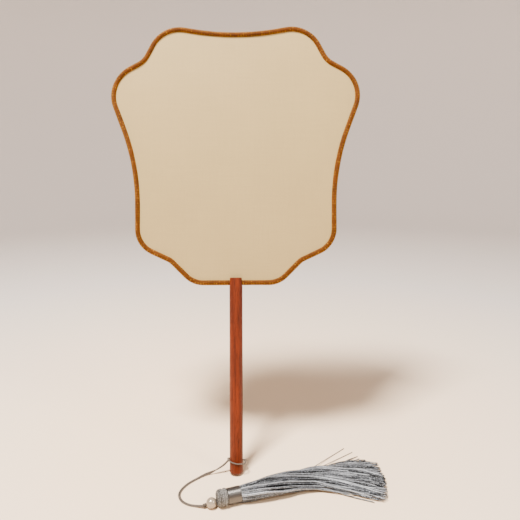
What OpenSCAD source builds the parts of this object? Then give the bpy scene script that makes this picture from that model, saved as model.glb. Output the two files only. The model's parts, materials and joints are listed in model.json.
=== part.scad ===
// A rigid hand fan with a scalloped silk head, a round wooden handle and a corded tassel.
// The fan leans back, as it does on a display shelf, with its foot on the shelf at z = 0 and
// the cord, the bead and the tassel lying on the shelf in front of it. +X is the fan's right
// as seen from the front, +Y points to the back, +Z is up.

/* [Handle] */
// Diameter of the handle
handle_d = 12.9; // [12.5:0.1:12.9]
// Length of the handle, from its foot to the top of its fork
handle_len = 189; // [170:1:210]
// Angle by which the fan leans back from upright, in degrees
lean = 14; // [8:1:20]
// Height of the cord's hole above the foot
cord_hole_z = 12; // [11.5:0.25:12.5]
// Length of the hoop's tangs inside the handle
tang_len = 24; // [18:1:30]

/* [Head] */
// Thickness of the covered rim
rim_d = 5.2; // [5:0.1:5.4]
// Thickness of the hoop inside the rim
hoop_d = 2.8; // [2.6:0.1:2.8]
// Thickness of each layer of silk
silk_t = 0.3; // [0.2:0.05:0.35]
// Thickness of the paper between the silks
lining_t = 0.4; // [0.3:0.05:0.45]

/* [Cord and bead] */
// Diameter of one strand of the cord
cord_d = 1.2; // [1.1:0.05:1.2]
// Diameter of the pearl bead
bead_d = 9.5; // [9:0.1:9.6]
// Length of the stop knot beside the bead
knot_len = 3; // [2.8:0.1:3.1]

/* [Tassel] */
// Diameter of the knotted cap
cap_d = 15.2; // [14.6:0.2:15.2]
// Length of the knotted cap
cap_len = 9; // [8:0.5:10]
// Diameter of the satin collar
collar_d = 14; // [13.6:0.2:14.4]
// Length of the satin collar
collar_len = 12.5; // [11:0.5:13]

/* [Hidden] */

$fn = 64;
up = [0, 0, 1];

// --- the outline of the head ---------------------------------------------------------------
// Corners of the right half, from the bottom up to the middle of the top: distance from the
// middle, height above the bottom of the rim, and radius that rounds the corner.
half_corners = [
    [42, 0, 24], [64, 22, 15], [97, 37.5, 25], [97.5, 116.5, 220],
    [129, 200.5, 31], [91, 221.5, 22], [72.5, 256.5, 30], [0, 244.5, 250]
];
half_count = len(half_corners);
corners = concat(
    half_corners,
    [for (i = [half_count - 2 : -1 : 0]) [-half_corners[i][0], half_corners[i][1], half_corners[i][2]]]
);
corner_count = len(corners);

function flat(p) = [p[0], p[1]];
function unit(v) = v / norm(v);
function around(i) = (i + corner_count) % corner_count;

// One rounded corner: [centre, radius, side (1 bulges out, -1 dips in), first angle, swept angle]
function rounded(i) = let (
        b = flat(corners[i]),
        r = corners[i][2],
        u = unit(flat(corners[around(i - 1)]) - b),
        v = unit(flat(corners[around(i + 1)]) - b),
        between = acos(u * v),
        reach = r / tan(between / 2),
        centre = b + unit(u + v) * r / sin(between / 2),
        side = sign(v[0] * u[1] - v[1] * u[0]) >= 0 ? 1 : -1,
        first = b + u * reach
    ) [centre, r, side, atan2(first[1] - centre[1], first[0] - centre[0]), side * (180 - between)];
rounds = [for (i = [0 : corner_count - 1]) rounded(i)];

// The outline as points, moved inwards by a distance. A round has a point every few degrees,
// and a wide one a point every few millimetres.
point_step = 9;
point_gap = 14;
function outline(inwards) = [
    for (c = rounds)
        let (
            n = max(2, ceil(abs(c[4]) / point_step), ceil(c[1] * abs(c[4]) * PI / 180 / point_gap)),
            r = c[1] - c[2] * inwards
        )
        for (k = [0 : n])
            let (a = c[3] + c[4] * k / n)
            c[0] + r * [cos(a), sin(a)]
];

// --- places that follow from the sizes above -------------------------------------------------
handle_r = handle_d / 2;
foot_round = 1.2;
top_edge = 0.5;
rim_r = rim_d / 2;
hoop_r = hoop_d / 2;
fit_gap = 0.1;
fork_gap = 0.15;
tang_x = 1.5;
head_z = handle_len - rim_r - 2.4;
head_top = max([for (p = outline(0)) p[1]]);
fork_floor = head_z - rim_r - fork_gap;
face_t = lining_t + 2 * silk_t;
cord_r = cord_d / 2;

// The lean lifts the foot until its back edge is on the shelf, and the origin is midway
// between the front of the foot and the back of the head.
foot_lift = (handle_r - foot_round) * sin(lean) + foot_round - foot_round * cos(lean);
foot_y = -((head_z + head_top) * sin(lean) + rim_r - handle_r * cos(lean) + foot_round * sin(lean)) / 2;

module leaned() {
    translate([0, foot_y, foot_lift]) rotate([-lean, 0, 0]) children();
}
function lean_point(p) = [
    p[0],
    foot_y + p[1] * cos(lean) + p[2] * sin(lean),
    foot_lift + p[2] * cos(lean) - p[1] * sin(lean)
];
module head_plane() {
    leaned() translate([0, 0, head_z]) rotate([90, 0, 0]) children();
}

// --- the cord's route ------------------------------------------------------------------------
// The hitch of the front strand: x and y in the handle's own frame, and the height above the
// middle of the hole. It goes round the front of the handle from the left, into the right end of
// the hole and out of its left end. The first point only sets the direction of the start.
pair_half = 0.65;
hitch = [
    [-5.9, 4.8, 0.2], [-8.3, 0, 1.1], [-6.8, -3.7, 0.4], [-3.7, -6.35, -0.6], [0.65, -7.2, -1.6],
    [4.15, -6.55, -1.9], [7.2, -5.8, -2.1], [8.75, -4.7, -1.7], [9.25, -3.2, -1.1], [8.6, -1.65, -0.4],
    [6.9, -0.65, 0], [3.3, -pair_half, 0], [0, -pair_half, 0]
];
// The pair of strands from the hole to the stop knot: x and y from the foot, z above the shelf,
// and the angle by which the pair is twisted.
pair_route = [
    [-6.6, 2.9, 12.9, 0], [-12, 1.4, 8.6, 0], [-18, 0, 5, 20], [-24, -1.5, 2.6, 90],
    [-30, -3.4, 1.3, 160], [-37, -9, 0.7, 180], [-44, -16, 0.7, 180], [-49, -24.5, 0.7, 180],
    [-50.4, -33, 0.7, 180], [-47, -41, 0.7, 180], [-40.5, -46, 0.7, 180], [-33.5, -48.2, 1, 180]
];

// The bead lies on the shelf, and its hole is aimed along bead_axis.
bead_r = bead_d / 2;
bead_at = [-19.5, foot_y - 49.3, bead_r];
bead_turn = 5;
bead_rise = 18;
bead_axis = [cos(bead_rise) * cos(bead_turn), cos(bead_rise) * sin(bead_turn), sin(bead_rise)];
bead_cord_r = 1.1;
bead_bore_r = 1.2;
knot_r = 1.9;
knot_gap = 0.1;
knot_face = bead_at - bead_axis * (bead_r + knot_gap + knot_len);

function pair_centre(k) = k < len(pair_route)
    ? [pair_route[k][0], foot_y + pair_route[k][1], pair_route[k][2]]
    : knot_face + bead_axis * (k - len(pair_route)) * 3;
function pair_twist(k) = pair_route[min(k, len(pair_route) - 1)][3];
function pair_point(k, side) = let (
        along = unit(pair_centre(k + 1) - pair_centre(max(k - 1, 0))),
        across = unit(cross(up, along)),
        over = cross(along, across),
        t = pair_twist(k)
    ) pair_centre(k) + side * pair_half * (cos(t) * across + sin(t) * over);

// side is 1 for the strand that goes round the front, and -1 for the one round the back
function strand_points(side) = concat(
    [for (p = hitch) lean_point([p[0], side * p[1], cord_hole_z + p[2]])],
    [for (k = [0 : len(pair_route) + 1]) pair_point(k, side)]
);

function curve(p, i, t) = 0.5 * (
    2 * p[i] + (p[i + 1] - p[i - 1]) * t
    + (2 * p[i - 1] - 5 * p[i] + 4 * p[i + 1] - p[i + 2]) * t * t
    + (3 * p[i] - p[i - 1] - 3 * p[i + 1] + p[i + 2]) * t * t * t
);
function smooth(p, steps) = concat(
    [for (i = [1 : len(p) - 3]) for (k = [0 : steps - 1]) curve(p, i, k / steps)],
    [p[len(p) - 2]]
);

// A tube along points, as one closed polyhedron
tube_sides = 8;
module tube(line, r) {
    rings = len(line);
    points = [
        for (i = [0 : rings - 1])
            let (
                along = unit(line[min(i + 1, rings - 1)] - line[max(i - 1, 0)]),
                across = unit(cross(up, along)),
                over = cross(along, across)
            )
            for (k = [0 : tube_sides - 1])
                let (a = 360 * k / tube_sides)
                line[i] + r * (cos(a) * across + sin(a) * over)
    ];
    swept(points, rings, tube_sides);
}

// The walls between rings of points
function walls(rings, sides) = [
    for (i = [0 : rings - 2]) for (k = [0 : sides - 1])
        let (a = i * sides + k, b = i * sides + (k + 1) % sides)
        each [[a, a + sides, b], [b, a + sides, b + sides]]
];
// Rings of points joined into a closed skin
module swept(points, rings, sides) {
    near = [for (k = [0 : sides - 1]) k];
    far = [for (k = [sides - 1 : -1 : 0]) (rings - 1) * sides + k];
    polyhedron(points = points, faces = concat(walls(rings, sides), [near, far]), convexity = 6);
}
// The same for a section with an outer half and an inner half of as many points
module swept_ring(points, rings, sides) {
    last = (rings - 1) * sides;
    half = sides / 2;
    ends = [
        for (k = [0 : half - 2])
            let (a = k, b = k + 1, c = sides - 2 - k, d = sides - 1 - k)
            each [[a, b, c, d], [last + d, last + c, last + b, last + a]]
    ];
    polyhedron(points = points, faces = concat(walls(rings, sides), ends), convexity = 10);
}

// --- the tassel's place -------------------------------------------------------------------
// The tassel's head lies on the shelf, on a level axis that starts above the bead's middle.
tassel_turn = 19.5;
tassel_z = cap_d / 2;
cap_start = 5;
collar_start = cap_start + cap_len;
collar_end = collar_start + collar_len;
collar_wall = 0.6;
cap_wall = 3;
head_r = collar_d / 2 - collar_wall - 0.05;
mouth_r = 1.5;
tail_r = 1.1;
end_knot_r = 2.8;
module tassel_frame() {
    translate([bead_at[0], bead_at[1], tassel_z]) rotate([0, 0, tassel_turn]) rotate([0, 90, 0]) children();
}

// Sections of the loose skirt: x and y of the middle from the foot, half its width, its height
skirt_sections = [
    [14, -37.6, 8, 14.2], [24.5, -34.2, 10.4, 14], [36.5, -29, 13, 13], [50, -22.5, 14.8, 12],
    [63, -17, 16.4, 10], [76, -13.4, 18, 9], [93, -11.8, 21.4, 8], [107, -11.4, 24.5, 7],
    [125, -12.8, 26.8, 6], [140, -15.4, 25, 5]
];
skirt_sides = 20;

// --- the pieces -------------------------------------------------------------------------------
module handle() {
    color([0.62, 0.29, 0.13]) leaned() difference() {
        rotate_extrude() polygon(concat(
            [[0, 0]],
            [for (k = [0 : 4]) let (a = -90 + 90 * k / 4)
                [handle_r - foot_round + foot_round * cos(a), foot_round + foot_round * sin(a)]],
            [[handle_r, handle_len - top_edge], [handle_r - top_edge, handle_len], [0, handle_len]]
        ));
        translate([-handle_d, -rim_r - fork_gap, fork_floor])
            cube([2 * handle_d, rim_d + 2 * fork_gap, handle_len]);
        translate([0, 0, fork_floor - tang_len - 1]) cylinder(h = tang_len + 2, r = tang_x + hoop_r + fit_gap);
        translate([-handle_d, 0, cord_hole_z]) rotate([0, 90, 0]) cylinder(h = 2 * handle_d, r = 1.4);
    }
}

// The hoop: one bamboo strip, whose two ends turn down beside each other as tangs
tang_bend = 3;
bend_steps = 3;
tang_side = concat(
    [[tang_x, -tang_len - rim_r]],
    [for (k = [0 : bend_steps]) let (a = 180 - 90 * k / bend_steps)
        [tang_x + tang_bend + tang_bend * cos(a), -tang_bend + tang_bend * sin(a)]]
);
hoop_line = concat(
    tang_side,
    outline(0),
    [for (k = [len(tang_side) - 1 : -1 : 0]) [-tang_side[k][0], tang_side[k][1]]]
);
hoop_sides = 10;
module hoop() {
    profile = [for (k = [0 : hoop_sides - 1]) hoop_r * [cos(360 * k / hoop_sides), sin(360 * k / hoop_sides)]];
    rings = len(hoop_line);
    color([0.72, 0.58, 0.36]) head_plane()
        swept(rim_points(hoop_line, profile), rings, hoop_sides);
}

// Points of a profile, whose +X side faces the middle of the head, at each point of a line
function rim_points(line, profile) = [
    for (i = [0 : len(line) - 1])
        let (
            along = unit(line[min(i + 1, len(line) - 1)] - line[max(i - 1, 0)]),
            inwards = [-along[1], along[0]]
        )
        for (q = profile)
            [line[i][0] + q[0] * inwards[0], line[i][1] + q[0] * inwards[1], q[1]]
];

// The binding: a woven strip wrapped over the hoop and over the edges of the face. Its ends
// meet inside the handle's fork. The profile is a ring with a slot for the face.
binding_gap = tang_x + tang_bend + fit_gap;
binding_steps = 10;
slot_half = (face_t + fit_gap) / 2;
function open_ring(r, k) = let (first = asin(slot_half / r), a = first + (360 - 2 * first) * k / binding_steps)
    [r * cos(a), r * sin(a)];
module rim_binding() {
    line = concat([[binding_gap, 0]], outline(0), [[-binding_gap, 0]]);
    profile = concat(
        [for (k = [0 : binding_steps]) open_ring(rim_r, k)],
        [for (k = [binding_steps : -1 : 0]) open_ring(hoop_r + fit_gap, k)]
    );
    color([0.71, 0.42, 0.14]) head_plane()
        swept_ring(rim_points(line, profile), len(line), len(profile));
}

// A layer of the face, which ends at the hoop. from is its front side.
module face_layer(from, t) {
    head_plane() translate([0, 0, from]) linear_extrude(height = t) polygon(outline(hoop_r + fit_gap));
}
module silk_front() {
    color([0.87, 0.82, 0.71]) face_layer(lining_t / 2, silk_t);
}
module paper_lining() {
    color([0.93, 0.91, 0.84]) face_layer(-lining_t / 2, lining_t);
}
module silk_back() {
    color([0.86, 0.81, 0.7]) face_layer(-lining_t / 2 - silk_t, silk_t);
}

cord_steps = 2;
module cord_strand(side) {
    color([0.56, 0.52, 0.49]) tube(smooth(strand_points(side), cord_steps), cord_r);
}
module cord_strand_front() {
    cord_strand(1);
}
module cord_strand_back() {
    cord_strand(-1);
}

module on_bead_axis() {
    translate(bead_at) rotate([0, 0, bead_turn]) rotate([0, 90 - bead_rise, 0]) children();
}
module stop_knot() {
    color([0.42, 0.37, 0.34]) on_bead_axis() translate([0, 0, -bead_r - knot_gap - knot_len])
        rotate_extrude() polygon([
            [0, 0], [1.4, 0], [knot_r, 0.7], [knot_r, knot_len - 0.7], [1.4, knot_len], [0, knot_len]
        ]);
}
module cord_through_bead() {
    color([0.56, 0.52, 0.49]) on_bead_axis() translate([0, 0, -bead_r - knot_gap])
        cylinder(h = bead_d + knot_gap, r = bead_cord_r);
}
module pearl_bead() {
    color([0.9, 0.87, 0.81]) on_bead_axis() difference() {
        sphere(r = bead_r);
        translate([0, 0, -bead_d]) cylinder(h = 2 * bead_d, r = bead_bore_r);
    }
}

// The cord's end: a tail from the cap's mouth into its hollow, and the knot that holds it there
module cord_end_knot() {
    color([0.5, 0.46, 0.43]) tassel_frame() {
        translate([0, 0, cap_start]) cylinder(h = cap_wall + 1, r = tail_r);
        translate([0, 0, cap_start + cap_wall + end_knot_r - 0.2]) sphere(r = end_knot_r - 0.25);
    }
}

module tassel_cap() {
    color([0.56, 0.56, 0.58]) tassel_frame() translate([0, 0, cap_start]) difference() {
        rotate_extrude() polygon(concat(
            [[0, 0]],
            [for (k = [0 : 5]) let (a = -90 + 90 * k / 5)
                [cap_d / 2 - 2.6 + 2.6 * cos(a), 2.6 + 2.6 * sin(a)]],
            [for (k = [0 : 3]) let (a = 90 * k / 3)
                [cap_d / 2 - 1.6 + 1.6 * cos(a), cap_len - 1.6 + 1.6 * sin(a)]],
            [[0, cap_len]]
        ));
        translate([0, 0, -1]) cylinder(h = cap_wall + 2, r = mouth_r);
        translate([0, 0, cap_wall]) cylinder(h = cap_len, r = end_knot_r + 0.2);
    }
}

module tassel_collar() {
    color([0.7, 0.69, 0.69]) tassel_frame() translate([0, 0, collar_start]) difference() {
        cylinder(h = collar_len, r = collar_d / 2);
        translate([0, 0, -1]) cylinder(h = collar_len + 2, r = collar_d / 2 - collar_wall);
    }
}

function on_tassel(t) = [
    bead_at[0] + t * cos(tassel_turn), bead_at[1] + t * sin(tassel_turn), tassel_z
];
skirt_middles = concat(
    [on_tassel(collar_start), on_tassel(collar_end)],
    [for (s = skirt_sections) [s[0], foot_y + s[1], s[3] / 2]]
);
skirt_halves = concat(
    [[head_r, head_r], [head_r, head_r]],
    [for (s = skirt_sections) [s[2], s[3] / 2]]
);
function skirt_across(i) = let (
        last = len(skirt_middles) - 1,
        way = i < 2 ? on_tassel(1) - on_tassel(0) : skirt_middles[min(i + 1, last)] - skirt_middles[i - 1]
    ) unit(cross(up, [way[0], way[1], 0]));
module tassel_skirt() {
    rings = len(skirt_middles);
    points = [
        for (i = [0 : rings - 1]) for (k = [0 : skirt_sides - 1])
            let (a = 360 * k / skirt_sides)
            skirt_middles[i] + skirt_halves[i][0] * cos(a) * skirt_across(i)
                + skirt_halves[i][1] * sin(a) * up
    ];
    color([0.6, 0.62, 0.66]) swept(points, rings, skirt_sides);
}

handle();
hoop();
rim_binding();
silk_front();
silk_back();
paper_lining();
cord_strand_front();
cord_strand_back();
stop_knot();
cord_through_bead();
pearl_bead();
cord_end_knot();
tassel_cap();
tassel_collar();
tassel_skirt();
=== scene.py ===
"""Visual model of a rigid silk hand fan with a bound rim, a wooden handle and a corded tassel.

The fan leans back with its foot on the floor, and its cord, bead and tassel lie in front of it.
Every piece is built in metres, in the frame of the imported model: +X to the fan's right, +Y to
its back, +Z up.
"""

from __future__ import annotations

import json
import logging
import math
import random
from collections.abc import Callable, Sequence
from dataclasses import dataclass, field
from enum import Enum

import bpy
import numpy as np
from mathutils import Matrix, Vector

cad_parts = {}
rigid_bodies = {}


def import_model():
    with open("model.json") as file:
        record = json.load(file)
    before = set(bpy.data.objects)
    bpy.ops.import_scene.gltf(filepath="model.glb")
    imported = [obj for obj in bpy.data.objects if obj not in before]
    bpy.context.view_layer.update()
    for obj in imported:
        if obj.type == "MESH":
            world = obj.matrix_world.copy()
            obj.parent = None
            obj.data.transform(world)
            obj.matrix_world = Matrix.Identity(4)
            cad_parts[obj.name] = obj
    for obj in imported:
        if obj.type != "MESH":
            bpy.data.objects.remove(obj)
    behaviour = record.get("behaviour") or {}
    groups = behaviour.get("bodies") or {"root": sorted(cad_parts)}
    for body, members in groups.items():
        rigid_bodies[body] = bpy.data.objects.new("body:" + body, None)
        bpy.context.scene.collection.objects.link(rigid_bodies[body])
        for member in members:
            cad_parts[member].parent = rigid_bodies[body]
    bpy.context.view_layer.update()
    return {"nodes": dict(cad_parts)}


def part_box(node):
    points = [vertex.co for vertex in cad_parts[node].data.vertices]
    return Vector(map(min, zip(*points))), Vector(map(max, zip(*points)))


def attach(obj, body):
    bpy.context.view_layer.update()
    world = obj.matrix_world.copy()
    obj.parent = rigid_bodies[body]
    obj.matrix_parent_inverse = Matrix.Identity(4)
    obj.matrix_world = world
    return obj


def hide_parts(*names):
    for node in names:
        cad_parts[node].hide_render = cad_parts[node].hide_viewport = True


LOG = logging.getLogger("hand_fan")
MM = 0.001
TURN = 2 * math.pi
GOLDEN_ANGLE = math.pi * (3 - math.sqrt(5))
FIGURE_PITCH = 5.2
HOLE_HEIGHT = 12.0
Colour = tuple[float, float, float]
Inputs = dict[str | int, object]


class Body(Enum):
    """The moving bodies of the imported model."""

    FAN = "fan"
    BEAD = "bead"
    TASSEL = "tassel"


class Slot(Enum):
    """The finishes that the record names."""

    WOOD = "handle_wood"
    BAMBOO = "bamboo"
    BROCADE = "brocade"
    SILK = "silk"
    PAPER = "lining_paper"
    CORD = "cord"
    KNOT = "knot"
    PEARL = "pearl"
    CAP = "knitted_cap"
    SATIN = "satin"
    THREAD = "thread"


# --- small helpers -----------------------------------------------------------------------------


def shade(code: str) -> Colour:
    """Turns a hex colour into linear light.

    Args:
        code: Six hex digits.

    Returns:
        Red, green and blue in linear light.
    """
    parts = [int(code[i : i + 2], 16) / 255 for i in (0, 2, 4)]
    return tuple(p / 12.92 if p <= 0.04045 else ((p + 0.055) / 1.055) ** 2.4 for p in parts)


def ease(low: float, high: float, x: np.ndarray | float) -> np.ndarray | float:
    """Rises smoothly from 0 at low to 1 at high.

    Args:
        low: Where the rise starts.
        high: Where the rise ends.
        x: One value or an array of them.

    Returns:
        The eased value or values.
    """
    t = np.clip((np.asarray(x, float) - low) / (high - low), 0, 1)
    return t * t * (3 - 2 * t)


def through(points: np.ndarray, steps: int) -> np.ndarray:
    """Draws a smooth curve through rows of numbers, from the second row to the last but one.

    Args:
        points: One row for each point, where the first and the last only set directions.
        steps: How many points each stretch gets.

    Returns:
        The rows along the curve.
    """
    p = np.asarray(points, float)
    out = []
    for i in range(1, len(p) - 2):
        t = (np.arange(steps) / steps)[:, None]
        out.append(
            0.5
            * (
                2 * p[i]
                + (p[i + 1] - p[i - 1]) * t
                + (2 * p[i - 1] - 5 * p[i] + 4 * p[i + 1] - p[i + 2]) * t**2
                + (3 * p[i] - p[i - 1] - 3 * p[i + 1] + p[i + 2]) * t**3
            )
        )
    return np.vstack([*out, p[-2:-1]])


def lengths(line: np.ndarray) -> np.ndarray:
    """Returns the distance along a line at each of its points."""
    return np.concatenate([[0], np.cumsum(np.linalg.norm(np.diff(line, axis=0), axis=1))])


def evenly(line: np.ndarray, gap: float, closed: bool = False) -> np.ndarray:
    """Places points evenly along a line.

    Args:
        line: The points of the line.
        gap: The distance between the new points.
        closed: Whether the line goes back to its start. The start isn't repeated.

    Returns:
        The new points.
    """
    line = np.vstack([line, line[:1]]) if closed else np.asarray(line, float)
    at = lengths(line)
    count = max(2, round(at[-1] / gap))
    wanted = np.linspace(0, at[-1], count + 1)[: count if closed else None]
    return np.stack([np.interp(wanted, at, line[:, k]) for k in range(line.shape[1])], axis=1)


def wander(rng: random.Random, waves: int, reach: float) -> Callable[[np.ndarray], np.ndarray]:
    """Makes a slow irregular swing out of a few sine waves.

    Args:
        rng: The source of chance.
        waves: How many waves are added.
        reach: The rough size of the swing.

    Returns:
        A function of the place along a piece, from 0 to 1.
    """
    terms = [(rng.uniform(0.6, 1.2) * (k + 1), rng.uniform(0, TURN)) for k in range(waves)]

    def swing(s: np.ndarray) -> np.ndarray:
        """Returns the swing at the places s."""
        return reach * sum(np.sin(TURN * f * s + p) / (k + 1.3) for k, (f, p) in enumerate(terms))

    return swing


# --- meshes ------------------------------------------------------------------------------------


class Skin:
    """Collects grids of points into one mesh, with map coordinates and a tone for each part."""

    def __init__(self) -> None:
        """Starts with no points."""
        self.points: list[np.ndarray] = []
        self.faces: list[tuple[int, ...]] = []
        self.maps: list[tuple[float, float]] = []
        self.tones: list[np.ndarray] = []
        self.count = 0

    def grid(
        self,
        rows: np.ndarray,
        along: Sequence[float],
        around: Sequence[float],
        wrap: bool = True,
        loop: bool = False,
        ends: bool = True,
        tone: float | np.ndarray = 0.5,
    ) -> None:
        """Adds a grid of points.

        Args:
            rows: The points, as rows by columns by three.
            along: The first map coordinate of each row, with one more if the rows close.
            around: The second map coordinate of each column, with one more if they close.
            wrap: Whether the last column joins the first.
            loop: Whether the last row joins the first.
            ends: Whether the first and last rows of a tube are closed with a face.
            tone: A value from 0 to 1 that the material can read, or one for each row.
        """
        high, wide = rows.shape[:2]
        base = self.count
        for i in range(high if loop else high - 1):
            for k in range(wide if wrap else wide - 1):
                j, n = (i + 1) % high, (k + 1) % wide
                self.faces.append(
                    (base + i * wide + k, base + i * wide + n, base + j * wide + n, base + j * wide + k)
                )
                u, v = (along[i], along[i + 1]), (around[k], around[k + 1])
                self.maps += [(u[0], v[0]), (u[0], v[1]), (u[1], v[1]), (u[1], v[0])]
        if wrap and ends and not loop:
            for row, order in ((0, -1), (high - 1, 1)):
                ring = [base + row * wide + k for k in range(wide)][::order]
                self.faces.append(tuple(ring))
                self.maps += [(along[row], around[k]) for k in range(wide)][::order]
        self.points.append(rows.reshape(-1, 3))
        self.tones.append(np.repeat(np.broadcast_to(tone, (high,)), wide))
        self.count += high * wide

    def tube(
        self,
        line: np.ndarray,
        radius: float | np.ndarray,
        sides: int,
        tone: float | np.ndarray = 0.5,
        bumps: Callable[[np.ndarray, np.ndarray], np.ndarray] | None = None,
    ) -> None:
        """Adds a round tube along a line.

        Args:
            line: The points of the line.
            radius: Its radius, or one for each point.
            sides: How many sides it has.
            tone: A value from 0 to 1 that the material can read, or one for each point.
            bumps: The share of the radius at a distance along and a place around.
        """
        way = np.gradient(line, axis=0)
        way /= np.linalg.norm(way, axis=1, keepdims=True)
        first = np.cross(way[0], (0.3, 0.2, 1.0))
        side = [first / np.linalg.norm(first)]
        for t in way[1:]:
            s = side[-1] - t * (side[-1] @ t)
            side.append(s / np.linalg.norm(s))
        across = np.array(side)
        over = np.cross(way, across)
        at = lengths(line)
        turns = np.arange(sides) / sides
        reach = np.broadcast_to(np.asarray(radius, float), (len(line),))[:, None]
        if bumps is not None:
            reach = reach * bumps(at[:, None], turns[None, :])
        c, s = np.cos(TURN * turns)[None, :, None], np.sin(TURN * turns)[None, :, None]
        rows = line[:, None] + reach[..., None] * (c * across[:, None] + s * over[:, None])
        self.grid(rows, at / MM, np.arange(sides + 1) / sides, tone=tone)

    def piece(self, name: str, finish: bpy.types.Material) -> bpy.types.Object:
        """Makes the object, shaded smooth.

        Args:
            name: The piece's name.
            finish: Its material.

        Returns:
            The new object, in the scene.
        """
        mesh = bpy.data.meshes.new(name)
        mesh.from_pydata(np.vstack(self.points).tolist(), [], self.faces)
        layer = mesh.uv_layers.new(name="lengths")
        layer.data.foreach_set("uv", np.asarray(self.maps, np.float32).ravel())
        tone = mesh.attributes.new("tone", "FLOAT", "POINT")
        tone.data.foreach_set("value", np.concatenate(self.tones).astype(np.float32))
        mesh.polygons.foreach_set("use_smooth", [True] * len(mesh.polygons))
        mesh.materials.append(finish)
        mesh.update()
        made = bpy.data.objects.new(name, mesh)
        bpy.context.scene.collection.objects.link(made)
        return made


@dataclass(frozen=True)
class Axle:
    """A straight axis that turned pieces stand on.

    Attributes:
        start: Where it starts.
        way: Its direction.
    """

    start: np.ndarray
    way: np.ndarray

    def turned(
        self, profile: np.ndarray, sides: int, raised: np.ndarray | float = 0.0
    ) -> np.ndarray:
        """Turns a profile round the axis.

        Args:
            profile: Distance along the axis and radius of each row, in metres.
            sides: How many points each ring has.
            raised: How far each point stands out from the profile, as rows by columns.

        Returns:
            The points, as rows by columns by three.
        """
        across = np.cross((0.0, 0.0, 1.0), self.way)
        across /= np.linalg.norm(across)
        over = np.cross(self.way, across)
        slope = np.gradient(profile, axis=0)
        slope /= np.maximum(np.linalg.norm(slope, axis=1, keepdims=True), 1e-12)
        raised = np.broadcast_to(raised, (len(profile), sides))
        t = profile[:, :1] - slope[:, 1:] * raised
        r = profile[:, 1:] + slope[:, :1] * raised
        a = TURN * np.arange(sides) / sides
        spoke = np.cos(a)[:, None] * across + np.sin(a)[:, None] * over
        return self.start + t[..., None] * self.way + r[..., None] * spoke[None]


# --- finishes ----------------------------------------------------------------------------------


class Graph:
    """Adds nodes to one shader tree and links each to what it reads."""

    def __init__(self, tree: bpy.types.NodeTree) -> None:
        """Keeps the tree, which may be a material's or a group's."""
        self.tree = tree

    def node(self, kind: str, inputs: Inputs | None = None, **settings: object) -> bpy.types.Node:
        """Adds a node.

        Args:
            kind: Its type, without the ShaderNode in front.
            inputs: A value or a socket for each input, by name or number.
            settings: Its own settings.

        Returns:
            The new node.
        """
        made = self.tree.nodes.new("ShaderNode" + kind)
        for key, value in settings.items():
            setattr(made, key, value)
        for key, value in (inputs or {}).items():
            socket = made.inputs[key]
            if isinstance(value, bpy.types.NodeSocket):
                self.tree.links.new(value, socket)
            elif socket.type == "RGBA":
                socket.default_value = (*value, 1.0)
            else:
                socket.default_value = value
        return made

    def maths(self, kind: str, *values: object, clamp: bool = False) -> bpy.types.NodeSocket:
        """Returns the result of a sum on numbers or sockets."""
        return self.node("Math", dict(enumerate(values)), operation=kind, use_clamp=clamp).outputs[0]

    def mixed(self, share: object, first: object, second: object) -> bpy.types.NodeSocket:
        """Returns a colour between two, by a share from 0 to 1."""
        inputs = {0: share, 6: first, 7: second}
        return self.node("Mix", inputs, data_type="RGBA").outputs[2]

    def tinted(self, colour: object, value: object, share: float) -> bpy.types.NodeSocket:
        """Returns a colour multiplied by a grey value, to a share."""
        grey = self.node("CombineColor", {0: value, 1: value, 2: value}).outputs[0]
        inputs = {0: share, 6: colour, 7: grey}
        return self.node("Mix", inputs, data_type="RGBA", blend_type="MULTIPLY").outputs[2]

    def spread(self, value: object, low: float, high: float, to: tuple[float, float] = (0.0, 1.0)) -> object:
        """Returns a value stretched from one range to another and clamped to it."""
        inputs = {0: value, 1: low, 2: high, 3: to[0], 4: to[1]}
        return self.node("MapRange", inputs).outputs[0]

    def noise(self, vector: object, scale: float, detail: float = 3.0, rough: float = 0.5) -> object:
        """Returns the value of a noise texture."""
        inputs = {"Vector": vector, "Scale": scale, "Detail": detail, "Roughness": rough}
        return self.node("TexNoise", inputs).outputs[0]

    def scaled(
        self, vector: object, scale: tuple[float, float, float], turn: tuple[float, float, float] = (0, 0, 0)
    ) -> bpy.types.NodeSocket:
        """Returns a vector turned and then scaled along each axis."""
        turned = self.node("Mapping", {"Vector": vector, "Rotation": turn}).outputs[0]
        return self.node("Mapping", {"Vector": turned, "Scale": scale}).outputs[0]

    def bumped(self, height: object, distance: float, strength: float, normal: object = None) -> object:
        """Returns a normal that a height bends."""
        inputs: Inputs = {"Height": height, "Distance": distance, "Strength": strength}
        if normal is not None:
            inputs["Normal"] = normal
        return self.node("Bump", inputs).outputs[0]


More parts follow.
